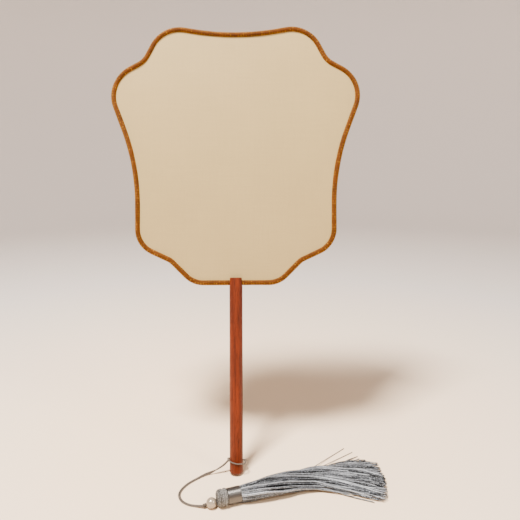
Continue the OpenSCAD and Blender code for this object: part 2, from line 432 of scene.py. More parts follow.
class Effects:
    """The effects that more than one finish uses, each a node group that is made once."""

    def __init__(self) -> None:
        """Makes every group."""
        self.mottle = self._group("slow_mottle", ("Scale",), ("Broad", "Fine"), self._mottle)
        self.weave = self._group(
            "plain_weave", ("Warp Pitch", "Weft Pitch", "Slub"), ("Height", "Over", "Yarn"), self._weave
        )
        self.twist = self._group("ply_twist", ("Pitch", "Plies"), ("Height", "Crease"), self._twist)
        self.streaks = self._group("long_streaks", ("Scale", "Stretch"), ("Band", "Hair"), self._streaks)

    @staticmethod
    def _group(
        name: str,
        values: Sequence[str],
        results: Sequence[str],
        build: Callable[[Graph, dict[str, object]], Sequence[object]],
    ) -> bpy.types.NodeTree:
        """Makes a group.

        Args:
            name: The group's name.
            values: The names of its number inputs, after the vector.
            results: The names of its outputs.
            build: Makes the nodes and returns one socket for each output.

        Returns:
            The group's tree.
        """
        tree = bpy.data.node_groups.new(name, "ShaderNodeTree")
        tree.interface.new_socket("Vector", in_out="INPUT", socket_type="NodeSocketVector")
        for value in values:
            tree.interface.new_socket(value, in_out="INPUT", socket_type="NodeSocketFloat")
        for result in results:
            tree.interface.new_socket(result, in_out="OUTPUT", socket_type="NodeSocketFloat")
        graph = Graph(tree)
        start = tree.nodes.new("NodeGroupInput")
        end = tree.nodes.new("NodeGroupOutput")
        sockets = {s.name: s for s in start.outputs if s.name}
        for socket, made in zip(end.inputs, build(graph, sockets)):
            tree.links.new(made, socket)
        return tree

    @staticmethod
    def _mottle(g: Graph, given: dict[str, object]) -> Sequence[object]:
        """Returns broad clouds and finer ones, both from 0 to 1."""
        fine = g.maths("MULTIPLY", given["Scale"], 6.0)
        inputs = {"Vector": given["Vector"], "Detail": 2.0, "Roughness": 0.5}
        broad = g.node("TexNoise", {**inputs, "Scale": given["Scale"]}).outputs[0]
        small = g.node("TexNoise", {**inputs, "Scale": fine, "Detail": 4.0}).outputs[0]
        return g.spread(broad, 0.3, 0.7), g.spread(small, 0.3, 0.7)

    @staticmethod
    def _weave(g: Graph, given: dict[str, object]) -> Sequence[object]:
        """Returns the height of crossing yarns, where the warp is over, and each yarn's tone."""
        parts = g.node("SeparateXYZ", {0: given["Vector"]})
        stir = g.noise(g.scaled(given["Vector"], (0.6, 0.6, 0.6)), 1.0)
        stir = g.maths("MULTIPLY", g.maths("SUBTRACT", stir, 0.5), given["Slub"])
        x = g.maths("ADD", g.maths("DIVIDE", parts.outputs[0], given["Warp Pitch"]), stir)
        y = g.maths("ADD", g.maths("DIVIDE", parts.outputs[1], given["Weft Pitch"]), stir)
        sx, sy = (g.maths("SINE", g.maths("MULTIPLY", a, math.pi)) for a in (x, y))
        over = g.maths("GREATER_THAN", g.maths("MULTIPLY", sx, sy), 0.0)
        under = g.maths("SUBTRACT", 1.0, over)
        ax, ay = g.maths("ABSOLUTE", sx), g.maths("ABSOLUTE", sy)
        height = g.maths("ADD", g.maths("MULTIPLY", ax, over), g.maths("MULTIPLY", ay, under))
        columns = g.node("CombineXYZ", {0: g.maths("FLOOR", x), 1: g.maths("MULTIPLY", y, 0.02)})
        lines = g.node("CombineXYZ", {0: g.maths("MULTIPLY", x, 0.02), 1: g.maths("FLOOR", y)})
        yarns = [
            g.node("VectorMath", {0: way.outputs[0]}, operation="FLOOR") for way in (columns, lines)
        ]
        warp, weft = (g.node("TexWhiteNoise", {0: yarn.outputs[0]}) for yarn in yarns)
        tone = g.maths(
            "ADD",
            g.maths("MULTIPLY", warp.outputs[0], over),
            g.maths("MULTIPLY", weft.outputs[0], under),
        )
        return height, over, tone

    @staticmethod
    def _twist(g: Graph, given: dict[str, object]) -> Sequence[object]:
        """Returns the height of plies that wind round a cord, and the crease between them."""
        parts = g.node("SeparateXYZ", {0: given["Vector"]})
        wound = g.maths("ADD", g.maths("DIVIDE", parts.outputs[0], given["Pitch"]), parts.outputs[1])
        phase = g.maths("MULTIPLY", g.maths("MULTIPLY", wound, given["Plies"]), math.pi)
        height = g.maths("ABSOLUTE", g.maths("SINE", phase))
        return height, g.spread(height, 0.0, 0.45, (1.0, 0.0))

    @staticmethod
    def _streaks(g: Graph, given: dict[str, object]) -> Sequence[object]:
        """Returns wide bands and fine hairs that run along X of the vector, from 0 to 1."""
        short = g.maths("DIVIDE", given["Scale"], given["Stretch"])
        scale = g.node("CombineXYZ", {0: short, 1: given["Scale"], 2: given["Scale"]}).outputs[0]
        drawn = g.node("VectorMath", {0: given["Vector"], 1: scale}, operation="MULTIPLY").outputs[0]
        band = g.noise(drawn, 1.0, 3.0, 0.55)
        hair = g.noise(drawn, 7.0, 4.0, 0.65)
        return g.spread(band, 0.3, 0.7), g.spread(hair, 0.3, 0.7)


@dataclass(frozen=True)
class Finish:
    """A finish. Each kind fills in its own nodes.

    Attributes:
        name: The material's name.
        base: Its main colour, in linear light.
        rough: How matt it is.
    """

    name: str
    base: Colour
    rough: float = 0.5

    def material(self, effects: Effects) -> bpy.types.Material:
        """Makes the material.

        Args:
            effects: The shared effects.

        Returns:
            The material, with its surface ready.
        """
        made = bpy.data.materials.new(self.name)
        made.use_nodes = True
        made.diffuse_color = (*self.base, 1.0)
        made.node_tree.nodes.clear()
        graph = Graph(made.node_tree)
        surface = graph.node("BsdfPrincipled", {"Base Color": self.base, "Roughness": self.rough})
        self.fill(graph, effects, surface)
        graph.node("OutputMaterial", {"Surface": surface.outputs[0]})
        return made

    def fill(self, g: Graph, effects: Effects, surface: bpy.types.Node) -> None:
        """Adds this finish's own nodes to the surface."""

    @staticmethod
    def link(g: Graph, surface: bpy.types.Node, **inputs: object) -> None:
        """Sets or links inputs of the surface, with underscores for spaces in their names."""
        for key, value in inputs.items():
            socket = surface.inputs[key.replace("_", " ")]
            if isinstance(value, bpy.types.NodeSocket):
                g.tree.links.new(value, socket)
            elif socket.type == "RGBA":
                socket.default_value = (*value, 1.0)
            else:
                socket.default_value = value

    @staticmethod
    def effect(g: Graph, tree: bpy.types.NodeTree, vector: object, **values: float) -> bpy.types.Node:
        """Places a shared effect, with its own values, reading a vector."""
        placed = g.tree.nodes.new("ShaderNodeGroup")
        placed.node_tree = tree
        g.tree.links.new(vector, placed.inputs["Vector"])
        for key, value in values.items():
            placed.inputs[key.replace("_", " ")].default_value = value
        return placed


@dataclass(frozen=True)
class VarnishedWood(Finish):
    """Reddish wood with fine dark streaks along the handle, under a thin satin varnish.

    Attributes:
        dark: The colour of the streaks.
        light: The colour between them.
        lean: The angle at which the grain leans from upright.
    """

    dark: Colour = (0.1, 0.02, 0.005)
    light: Colour = (0.5, 0.13, 0.03)
    lean: float = 0.0

    def fill(self, g: Graph, effects: Effects, surface: bpy.types.Node) -> None:
        """Adds grain, pores and a varnish that dulls in the pores."""
        place = g.node("TexCoord").outputs["Object"]
        upright = g.node("Mapping", {"Vector": place, "Rotation": (self.lean, 0, 0)}).outputs[0]
        along = g.node("Mapping", {"Vector": upright, "Rotation": (0, math.pi / 2, 0)}).outputs[0]
        grain = self.effect(g, effects.streaks, along, Scale=420.0, Stretch=26.0)
        pores = self.effect(g, effects.streaks, along, Scale=1500.0, Stretch=18.0)
        cloud = self.effect(g, effects.mottle, along, Scale=22.0)
        colour = g.mixed(grain.outputs["Band"], self.base, self.light)
        colour = g.mixed(g.spread(grain.outputs["Hair"], 0.52, 0.95, (0.0, 0.8)), colour, self.dark)
        pore = g.spread(pores.outputs["Band"], 0.78, 0.95)
        colour = g.mixed(g.maths("MULTIPLY", pore, 0.6), colour, self.dark)
        colour = g.tinted(colour, g.spread(cloud.outputs["Broad"], 0, 1, (0.78, 1.1)), 0.8)
        dull = g.maths("ADD", g.maths("MULTIPLY", pore, 0.25), self.rough)
        dull = g.maths("ADD", dull, g.spread(cloud.outputs["Fine"], 0, 1, (-0.04, 0.06)))
        deep = g.maths("SUBTRACT", g.maths("MULTIPLY", grain.outputs["Hair"], 0.5), pore)
        normal = g.bumped(deep, 0.00006, 0.5)
        self.link(g, surface, Base_Color=colour, Roughness=dull, Normal=normal)
        self.link(g, surface, Coat_Weight=0.06, Coat_Roughness=0.25, Specular_IOR_Level=0.22)


@dataclass(frozen=True)
class SplitBamboo(Finish):
    """Pale split bamboo, fibrous along its length."""

    def fill(self, g: Graph, effects: Effects, surface: bpy.types.Node) -> None:
        """Adds fibres."""
        place = g.node("TexCoord").outputs["Object"]
        fibre = self.effect(g, effects.streaks, place, Scale=600.0, Stretch=4.0)
        colour = g.tinted(self.base, g.spread(fibre.outputs["Band"], 0, 1, (0.7, 1.05)), 1.0)
        normal = g.bumped(fibre.outputs["Hair"], 0.00005, 0.5)
        self.link(g, surface, Base_Color=colour, Normal=normal)


@dataclass(frozen=True)
class FineCloth(Finish):
    """A thin plain-woven silk, stretched flat.

    Attributes:
        shadow: The colour between the yarns.
        pitch: The distance between yarns, in millimetres.
    """

    shadow: Colour = (0.5, 0.4, 0.3)
    pitch: float = 0.34

    def fill(self, g: Graph, effects: Effects, surface: bpy.types.Node) -> None:
        """Adds the weave, single thicker yarns, faint clouds and a silky sheen."""
        place = g.node("UVMap", uv_map="lengths").outputs[0]
        weave = self.effect(
            g, effects.weave, place, Warp_Pitch=self.pitch, Weft_Pitch=self.pitch * 1.12, Slub=0.25
        )
        cloud = self.effect(g, effects.mottle, place, Scale=0.018)
        grit = self.effect(g, effects.mottle, place, Scale=0.9)
        threads = self.effect(g, effects.streaks, place, Scale=1.3, Stretch=22.0)
        gap = g.spread(weave.outputs["Height"], 0.0, 0.5, (1.0, 0.0))
        colour = g.mixed(g.maths("MULTIPLY", gap, 0.45), self.base, self.shadow)
        colour = g.tinted(colour, g.spread(weave.outputs["Yarn"], 0, 1, (0.93, 1.03)), 1.0)
        colour = g.tinted(colour, g.spread(threads.outputs["Hair"], 0, 1, (0.965, 1.02)), 1.0)
        colour = g.tinted(colour, g.spread(cloud.outputs["Broad"], 0, 1, (0.965, 1.015)), 1.0)
        colour = g.tinted(colour, g.spread(grit.outputs["Fine"], 0, 1, (0.97, 1.015)), 1.0)
        dull = g.spread(grit.outputs["Broad"], 0, 1, (self.rough - 0.06, self.rough + 0.08))
        height = g.maths("ADD", weave.outputs["Height"], g.maths("MULTIPLY", threads.outputs["Hair"], 0.6))
        normal = g.bumped(height, 0.00005, 0.55)
        self.link(g, surface, Base_Color=colour, Roughness=dull, Normal=normal)
        self.link(g, surface, Sheen_Weight=0.25, Sheen_Roughness=0.35, Specular_IOR_Level=0.4)


@dataclass(frozen=True)
class LiningPaper(Finish):
    """Plain fibrous paper."""

    def fill(self, g: Graph, effects: Effects, surface: bpy.types.Node) -> None:
        """Adds fibres and clouds."""
        place = g.node("TexCoord").outputs["Object"]
        cloud = self.effect(g, effects.mottle, place, Scale=90.0)
        colour = g.tinted(self.base, g.spread(cloud.outputs["Fine"], 0, 1, (0.9, 1.02)), 1.0)
        normal = g.bumped(cloud.outputs["Fine"], 0.00008, 0.5)
        self.link(g, surface, Base_Color=colour, Normal=normal)


@dataclass(frozen=True)
class Brocade(Finish):
    """A woven strip with small bright figures, cut on the bias and wrapped round the hoop.

    Attributes:
        gold: The colour of the bright yarn.
        dark: The colour of the painted shade between the yarns and in the creases.
        girth: How far it is round the wrapped hoop, in millimetres.
    """

    gold: Colour = (0.6, 0.3, 0.07)
    dark: Colour = (0.12, 0.03, 0.004)
    girth: float = 16.34

    def fill(self, g: Graph, effects: Effects, surface: bpy.types.Node) -> None:
        """Adds the bias weave, lozenge figures, worn yarns, the strip's diagonal creases and painted shade
        between the yarns and in the creases.
        """
        place = g.node("UVMap", uv_map="lengths").outputs[0]
        flat = g.scaled(place, (1.0, self.girth, 1.0))
        bias = g.scaled(flat, (1.0, 1.0, 1.0), (0, 0, math.pi / 4))
        yarn = self.girth / 24 / math.sqrt(2)
        weave = self.effect(g, effects.weave, bias, Warp_Pitch=yarn, Weft_Pitch=yarn, Slub=0.12)
        parts = g.node("SeparateXYZ", {0: place})
        along, around = g.maths("DIVIDE", parts.outputs[0], FIGURE_PITCH), parts.outputs[1]
        ways = [
            g.maths("SINE", g.maths("MULTIPLY", g.maths(kind, along, around), TURN))
            for kind in ("ADD", "SUBTRACT")
        ]
        cloud = self.effect(g, effects.mottle, flat, Scale=0.09)
        fine = self.effect(g, effects.mottle, flat, Scale=0.5)
        worn = g.spread(fine.outputs["Broad"], 0, 1, (-0.5, 0.5))
        figure = g.maths("ADD", g.maths("MULTIPLY", ways[0], ways[1]), worn)
        figure = g.spread(figure, 0.12, 0.4)
        figure = g.maths("MULTIPLY", figure, g.spread(fine.outputs["Fine"], 0.2, 0.7, (0.35, 1.0)))
        crease = g.spread(ways[0], 0.93, 1.0)
        crease = g.maths("MULTIPLY", crease, g.spread(cloud.outputs["Fine"], 0.45, 0.75))
        colour = g.mixed(figure, self.base, self.gold)
        # Painted shade between the yarns and in the diagonal creases.
        gap = g.spread(weave.outputs["Height"], 0.1, 0.75, (1.0, 0.0))
        colour = g.mixed(g.maths("MULTIPLY", gap, 0.6), colour, self.dark)
        colour = g.mixed(g.maths("MULTIPLY", crease, 0.55), colour, self.dark)
        colour = g.tinted(colour, g.spread(weave.outputs["Yarn"], 0, 1, (0.78, 1.12)), 1.0)
        colour = g.tinted(colour, g.spread(cloud.outputs["Broad"], 0, 1, (0.68, 1.15)), 1.0)
        dull = g.spread(figure, 0, 1, (self.rough + 0.08, self.rough - 0.1))
        height = g.maths("SUBTRACT", weave.outputs["Height"], g.maths("MULTIPLY", crease, 1.5))
        normal = g.bumped(height, 0.00012, 0.6)
        shine = g.maths("MULTIPLY", figure, 0.35)
        self.link(g, surface, Base_Color=colour, Roughness=dull, Metallic=shine, Normal=normal)
        self.link(g, surface, Specular_IOR_Level=0.12)


@dataclass(frozen=True)
class Yarn(Finish):
    """Twisted yarn, whose parts differ a little in tone, with painted shade and painted glints.

    Attributes:
        dark: The colour of the painted shade in its creases, and of its darkest parts.
        light: The colour of its lightest parts.
        pitch: The length of one turn of the twist, in millimetres.
        plies: How many plies show round it.
        shine: How metallic it looks.
        depth: How deep the creases are, in metres.
        speckle: How strongly its spots of painted glint and painted shade show.
        spots: How many spots there are in a metre.
    """

    dark: Colour = (0.1, 0.1, 0.1)
    light: Colour = (0.7, 0.7, 0.7)
    pitch: float = 3.0
    plies: float = 3.0
    shine: float = 0.0
    depth: float = 0.0001
    speckle: float = 0.25
    spots: float = 900.0

    def fill(self, g: Graph, effects: Effects, surface: bpy.types.Node) -> None:
        """Adds plies, fibres along them, painted shade in the creases, spots of painted glint and shade, and
        a tone for each part.
        """
        place = g.node("UVMap", uv_map="lengths").outputs[0]
        where = g.node("TexCoord").outputs["Object"]
        plies = self.effect(g, effects.twist, place, Pitch=self.pitch, Plies=self.plies)
        fibre = self.effect(g, effects.streaks, place, Scale=9.0, Stretch=6.0)
        cloud = self.effect(g, effects.mottle, where, Scale=60.0)
        tone = g.node("Attribute", attribute_name="tone").outputs["Fac"]
        # The tone lightens or darkens each part; on the skirt, the cap and the knot it also carries painted
        # shade.
        colour = g.mixed(g.spread(tone, 0.45, 1.0), self.base, self.light)
        colour = g.mixed(g.spread(tone, 0.0, 0.55, (0.85, 0.0)), colour, self.dark)
        # Painted shade in the creases between the plies.
        colour = g.mixed(g.maths("MULTIPLY", plies.outputs["Crease"], 0.5), colour, self.dark)
        # Spots of painted glint and painted shade along the yarn.
        spots = g.noise(where, self.spots, 2.0, 0.6)
        colour = g.mixed(g.spread(spots, 0.53, 0.68, (0.0, self.speckle)), colour, self.light)
        colour = g.mixed(g.spread(spots, 0.32, 0.47, (self.speckle, 0.0)), colour, self.dark)
        colour = g.tinted(colour, g.spread(fibre.outputs["Hair"], 0, 1, (0.82, 1.08)), 1.0)
        colour = g.tinted(colour, g.spread(cloud.outputs["Broad"], 0, 1, (0.88, 1.06)), 1.0)
        dull = g.spread(fibre.outputs["Band"], 0, 1, (self.rough - 0.08, self.rough + 0.1))
        height = g.maths("ADD", plies.outputs["Height"], g.maths("MULTIPLY", fibre.outputs["Hair"], 0.35))
        normal = g.bumped(height, self.depth, 0.6)
        self.link(g, surface, Base_Color=colour, Roughness=dull, Normal=normal)
        self.link(g, surface, Metallic=self.shine, Sheen_Weight=0.05, Specular_IOR_Level=0.35)


@dataclass(frozen=True)
class WoundSatin(Finish):
    """Silver thread wound tight into a satin band.

    Attributes:
        dark: The colour of the painted shade in the grooves.
    """

    dark: Colour = (0.08, 0.07, 0.07)

    def fill(self, g: Graph, effects: Effects, surface: bpy.types.Node) -> None:
        """Adds fine threads round the band, painted shade in the grooves between them and slow changes of
        gloss.
        """
        place = g.node("UVMap", uv_map="lengths").outputs[0]
        across = g.node("Mapping", {"Vector": place, "Rotation": (0, 0, math.pi / 2)}).outputs[0]
        fibre = self.effect(g, effects.streaks, across, Scale=14.0, Stretch=10.0)
        cloud = self.effect(g, effects.mottle, place, Scale=0.6)
        colour = g.tinted(self.base, g.spread(fibre.outputs["Band"], 0, 1, (0.82, 1.06)), 1.0)
        # Painted shade in the grooves between the wound threads.
        groove_shade = g.spread(fibre.outputs["Hair"], 0.0, 0.3, (0.35, 0.0))
        colour = g.mixed(groove_shade, colour, self.dark)
        dull = g.spread(cloud.outputs["Broad"], 0, 1, (self.rough - 0.05, self.rough + 0.07))
        normal = g.bumped(fibre.outputs["Hair"], 0.00004, 0.4)
        self.link(g, surface, Base_Color=colour, Roughness=dull, Normal=normal)
        self.link(g, surface, Metallic=0.95)


@dataclass(frozen=True)
class Pearl(Finish):
    """A pearly coat, painted darker towards its contour as shade.

    Attributes:
        edge: The darker colour painted at a glancing angle, a painted shade at the contour.
    """

    edge: Colour = (0.75, 0.7, 0.66)

    def fill(self, g: Graph, effects: Effects, surface: bpy.types.Node) -> None:
        """Adds painted shade at the contour, faint swirls and a clear coat."""
        place = g.node("TexCoord").outputs["Object"]
        cloud = self.effect(g, effects.mottle, place, Scale=140.0)
        # Painted shade: the colour darkens towards the bead's contour.
        contour_shade = g.node("LayerWeight", {"Blend": 0.35}).outputs["Facing"]
        colour = g.mixed(contour_shade, self.base, self.edge)
        colour = g.tinted(colour, g.spread(cloud.outputs["Broad"], 0, 1, (0.93, 1.03)), 1.0)
        dull = g.spread(cloud.outputs["Fine"], 0, 1, (self.rough - 0.03, self.rough + 0.05))
        normal = g.bumped(cloud.outputs["Fine"], 0.00002, 0.3)
        self.link(g, surface, Base_Color=colour, Roughness=dull, Normal=normal)
        self.link(g, surface, Coat_Weight=0.8, Coat_Roughness=0.1, Metallic=0.3)


@dataclass
class Wardrobe:
    """Makes each finish once and hands it out.

    Attributes:
        effects: The shared effects.
        lean: The angle at which the fan leans back, in radians.
    """

    effects: Effects
    lean: float
    made: dict[Slot, bpy.types.Material] = field(default_factory=dict)

    def finishes(self) -> dict[Slot, Finish]:
        """Returns every finish of the fan, by the record's slot."""
        return {
            Slot.WOOD: VarnishedWood(
                "handle_wood", shade("501700"), 0.52, shade("160300"), shade("762902"), self.lean
            ),
            Slot.BAMBOO: SplitBamboo("bamboo", shade("C8A870"), 0.6),
            Slot.BROCADE: Brocade("brocade", shade("623200"), 0.64, shade("C08A24"), shade("120500")),
            Slot.SILK: FineCloth("silk", shade("AE9662"), 0.6, shade("80683C")),
            Slot.PAPER: LiningPaper("lining_paper", shade("EFEAD8"), 0.8),
            Slot.CORD: Yarn("cord", shade("584E46"), 0.55, shade("1A1512"), shade("8A8076")),
            Slot.KNOT: Yarn("knot", shade("544A42"), 0.65, shade("241E1A"), shade("7E746C")),
            Slot.PEARL: Pearl("pearl", shade("A89A88"), 0.2, shade("4E443A")),
            Slot.CAP: Yarn(
                "knitted_cap",
                shade("423F3D"),
                0.5,
                shade("060505"),
                shade("ACAAA8"),
                pitch=1.2,
                plies=2.0,
                shine=0.15,
                depth=0.0001,
                speckle=0.65,
                spots=700.0,
            ),
            Slot.SATIN: WoundSatin("satin", shade("62605F"), 0.33, shade("0E0C0B")),
            Slot.THREAD: Yarn(
                "thread",
                shade("4C5057"),
                0.36,
                shade("040406"),
                shade("C2C7D0"),
                pitch=2.2,
                plies=2.0,
                shine=0.4,
                depth=0.00012,
                speckle=0.7,
            ),
        }

    def get(self, slot: Slot) -> bpy.types.Material:
        """Returns a finish, and makes it the first time."""
        if slot not in self.made:
            self.made[slot] = self.finishes()[slot].material(self.effects)
        return self.made[slot]

    def dress(self, node: bpy.types.Object, slot: Slot) -> None:
        """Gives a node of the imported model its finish."""
        node.data.materials.clear()
        node.data.materials.append(self.get(slot))


# --- the fan's own frame -----------------------------------------------------------------------


@dataclass(frozen=True)
class FanFrame:
    """The fan's leaned frame, in millimetres: x right, y back, z up the handle from its foot.

    Attributes:
        lean: The angle by which it leans back, in radians.
        foot_y: Where the middle of the foot is, in millimetres.
        foot_z: The height of the middle of the foot.
        head_z: The height of the rim's lowest middle point up the handle.
    """

    lean: float
    foot_y: float
    foot_z: float
    head_z: float = 184.0

    @classmethod
    def from_handle(cls, degrees: float = 14.0, radius: float = 6.45, rounding: float = 1.2) -> FanFrame:
        """Finds the frame from the handle's box.

        Args:
            degrees: The lean.
            radius: The handle's radius.
            rounding: The radius of its foot's edge.

        Returns:
            The frame.
        """
        lean = math.radians(degrees)
        c, s = math.cos(lean), math.sin(lean)
        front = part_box("handle")[0].y / MM
        foot_y = front + (radius - rounding) * c - rounding * s + rounding
        return cls(lean, foot_y, (radius - rounding) * s + rounding - rounding * c)

    def place(self, points: np.ndarray) -> np.ndarray:
        """Takes points of this frame, in millimetres, to the model's frame, in metres."""
        p = np.atleast_2d(np.asarray(points, float))
        c, s = math.cos(self.lean), math.sin(self.lean)
        y = self.foot_y + p[:, 1] * c + p[:, 2] * s
        z = self.foot_z + p[:, 2] * c - p[:, 1] * s
        return np.stack([p[:, 0], y, z], axis=1) * MM

    def on_floor(self, points: np.ndarray) -> np.ndarray:
        """Takes x and y from the foot and z from the floor, in millimetres, to metres."""
        p = np.atleast_2d(np.asarray(points, float))
        return (p + (0.0, self.foot_y, 0.0)) * MM


@dataclass(frozen=True)
class Outline:
    """The scalloped outline of the head.

    Attributes:
        corners: Distance from the middle, height above the rim's lowest middle point and
            rounding radius of each corner of the right half, from the bottom to the top.
    """

    corners: tuple[tuple[float, float, float], ...] = (
        (42, 0, 24),
        (64, 22, 15),
        (97, 37.5, 25),
        (97.5, 116.5, 220),
        (129, 200.5, 31),
        (91, 221.5, 22),
        (72.5, 256.5, 30),
        (0, 244.5, 250),
    )

    def points(self, inwards: float, step: float = 3.0) -> np.ndarray:
        """Goes round the outline, from the bottom to the right.

        Args:
            inwards: How far inside the rim's middle line it runs, in millimetres.
            step: The largest turn between points, in degrees.

        Returns:
            Distance from the middle and height of each point, in millimetres.
        """
        ring = list(self.corners) + [(-x, y, r) for x, y, r in self.corners[-2::-1]]
        out = []
        for i, (x, y, r) in enumerate(ring):
            b = np.array([x, y])
            u = np.array(ring[i - 1][:2]) - b
            v = np.array(ring[(i + 1) % len(ring)][:2]) - b
            u, v = u / np.linalg.norm(u), v / np.linalg.norm(v)
            between = math.acos(u @ v)
            middle = (u + v) / np.linalg.norm(u + v)
            centre = b + middle * r / math.sin(between / 2)
            side = 1 if v[0] * u[1] - v[1] * u[0] >= 0 else -1
            start = b + u * r / math.tan(between / 2) - centre
            first = math.atan2(start[1], start[0])
            sweep = side * (math.pi - between)
            count = max(3, math.ceil(math.degrees(abs(sweep)) / step))
            a = first + sweep * np.arange(count + 1) / count
            out.append(centre + (r - side * inwards) * np.stack([np.cos(a), np.sin(a)], axis=1))
        return np.vstack(out)


# --- the pieces --------------------------------------------------------------------------------


@dataclass
class Cord:
    """The cord: a bight round the handle, and two strands to the stop knot beside the bead.

    Attributes:
        frame: The fan's frame.
        wardrobe: The finishes.
        thick: The cord's diameter, in millimetres.
        half: Half the distance between the strands.
        bead_from_foot: Where the bead's middle is, from the foot, with z from the floor.
        bead_turn: The turn of the bead's hole in plan, in degrees.
        bead_rise: How steeply the hole rises, in degrees.
        knot_back: The distance from the bead's middle to the knot's far face.
        hitch: The front strand round the handle: x, y and z in the fan's frame. The first point
            only sets the direction of the start.
        pair: The two strands from the handle to the knot: x and y from the foot, z from the
            floor, and the twist of the pair in degrees.
    """

    frame: FanFrame
    wardrobe: Wardrobe
    thick: float = 1.2
    half: float = 0.65
    bead_from_foot: tuple[float, float, float] = (-19.5, -49.3, 4.75)
    bead_turn: float = 5.0
    bead_rise: float = 18.0
    knot_back: float = 7.85
    hitch: tuple[tuple[float, float, float], ...] = (
        (-5.9, 4.8, 12.2),
        (-8.3, 0, 13.1),
        (-6.8, -3.7, 12.4),
        (-3.7, -6.35, 11.4),
        (0.65, -7.2, 10.4),
        (4.15, -6.55, 10.1),
        (7.2, -5.8, 9.9),
        (8.75, -4.7, 10.3),
        (9.25, -3.2, 10.9),
        (8.6, -1.65, 11.6),
        (6.9, -0.65, 12),
        (3.3, -0.65, 12),
        (0, -0.65, 12),
    )
    pair: tuple[tuple[float, float, float, float], ...] = (
        (-6.6, 2.9, 12.9, 0),
        (-12, 1.4, 8.6, 0),
        (-18, 0, 5, 20),
        (-24, -1.5, 2.6, 90),
        (-30, -3.4, 1.3, 160),
        (-37, -9, 0.7, 180),
        (-44, -16, 0.7, 180),
        (-49, -24.5, 0.7, 180),
        (-50.4, -33, 0.7, 180),
        (-47, -41, 0.7, 180),
        (-40.5, -46, 0.7, 180),
        (-33.5, -48.2, 1, 180),
    )

    @property
    def bead(self) -> np.ndarray:
        """The bead's middle, in metres."""
        return self.frame.on_floor(self.bead_from_foot)[0]

    @property
    def bore(self) -> np.ndarray:
        """The direction of the bead's hole."""
        turn, rise = math.radians(self.bead_turn), math.radians(self.bead_rise)
        return np.array(
            [math.cos(rise) * math.cos(turn), math.cos(rise) * math.sin(turn), math.sin(rise)]
        )

    def strand(self, side: int) -> np.ndarray:
        """Follows one strand from the bight's end to the stop knot.

        Args:
            side: 1 for the strand round the front of the handle, and -1 for the other.

        Returns:
            The points of its middle line, in metres.
        """
        bight = self.frame.place([(x, side * y, z) for x, y, z in self.hitch])
        face = self.bead - self.bore * self.knot_back * MM
        middle = [self.frame.on_floor(p[:3])[0] for p in self.pair]
        middle += [face, face + self.bore * 3 * MM, face + self.bore * 6 * MM]
        twists = [p[3] for p in self.pair] + [180, 180]
        free = []
        for k, degrees in enumerate(twists):
            way = middle[k + 1] - middle[max(k - 1, 0)]
            across = np.cross((0, 0, 1), way / np.linalg.norm(way))
            across /= np.linalg.norm(across)
            over = np.cross(way / np.linalg.norm(way), across)
            a = math.radians(degrees)
            free.append(middle[k] + side * self.half * MM * (math.cos(a) * across + math.sin(a) * over))
        return evenly(through(np.vstack([bight, free]), 12), 0.35 * MM)

    def build(self) -> None:
        """Makes both strands and the stop knot."""
        knot = self.stop_knot()
        for side, name, node in (
            (1, "cord_front_strand", "cord_strand_front"),
            (-1, "cord_back_strand", "cord_strand_back"),
        ):
            line = self.strand(side)
            skin = Skin()
            skin.tube(line, self.thick / 2 * MM, 12, 0.5, self.plies)
            made = skin.piece(name, self.wardrobe.get(Slot.CORD))
            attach(made, Body.FAN.value)
            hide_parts(node)
            tuple(self.frame.place((0, 0, HOLE_HEIGHT))[0])
            LOG.info("%s: %.1f mm long", name, lengths(line)[-1] / MM)

    def plies(self, at: np.ndarray, turns: np.ndarray) -> np.ndarray:
        """Returns the radius's share where three plies wind round the cord."""
        return 0.95 + 0.08 * np.abs(np.sin(1.5 * TURN * (turns + at / (3.0 * MM))))

    def stop_knot(self) -> bpy.types.Object:
        """Ties the knot that keeps the bead on: one cord wound through itself as a ball."""
        middle = self.bead - self.bore * (self.knot_back - 1.5) * MM
        across = np.cross((0, 0, 1), self.bore)
        across /= np.linalg.norm(across)
        over = np.cross(self.bore, across)
        t = np.linspace(0, 1, 121)
        ring = 1.05 + 0.45 * np.cos(3 * TURN * t)
        spots = (
            (ring * np.cos(2 * TURN * t))[:, None] * across
            + (ring * np.sin(2 * TURN * t))[:, None] * over
            + (0.95 * np.sin(3 * TURN * t))[:, None] * self.bore
        )
        skin = Skin()
        skin.tube(middle + spots * MM, 0.55 * MM, 10, 0.5, self.plies)
        core = np.linspace(-1.5, 1.5, 13)[:, None] * self.bore * MM + middle
        # The core is given a lower tone, painted darker as shade inside the knot.
        skin.tube(core, 0.95 * MM, 12, 0.3, self.plies)
        made = skin.piece("stop_knot_tied", self.wardrobe.get(Slot.KNOT))
        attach(made, Body.FAN.value)
        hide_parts("stop_knot")
        return made


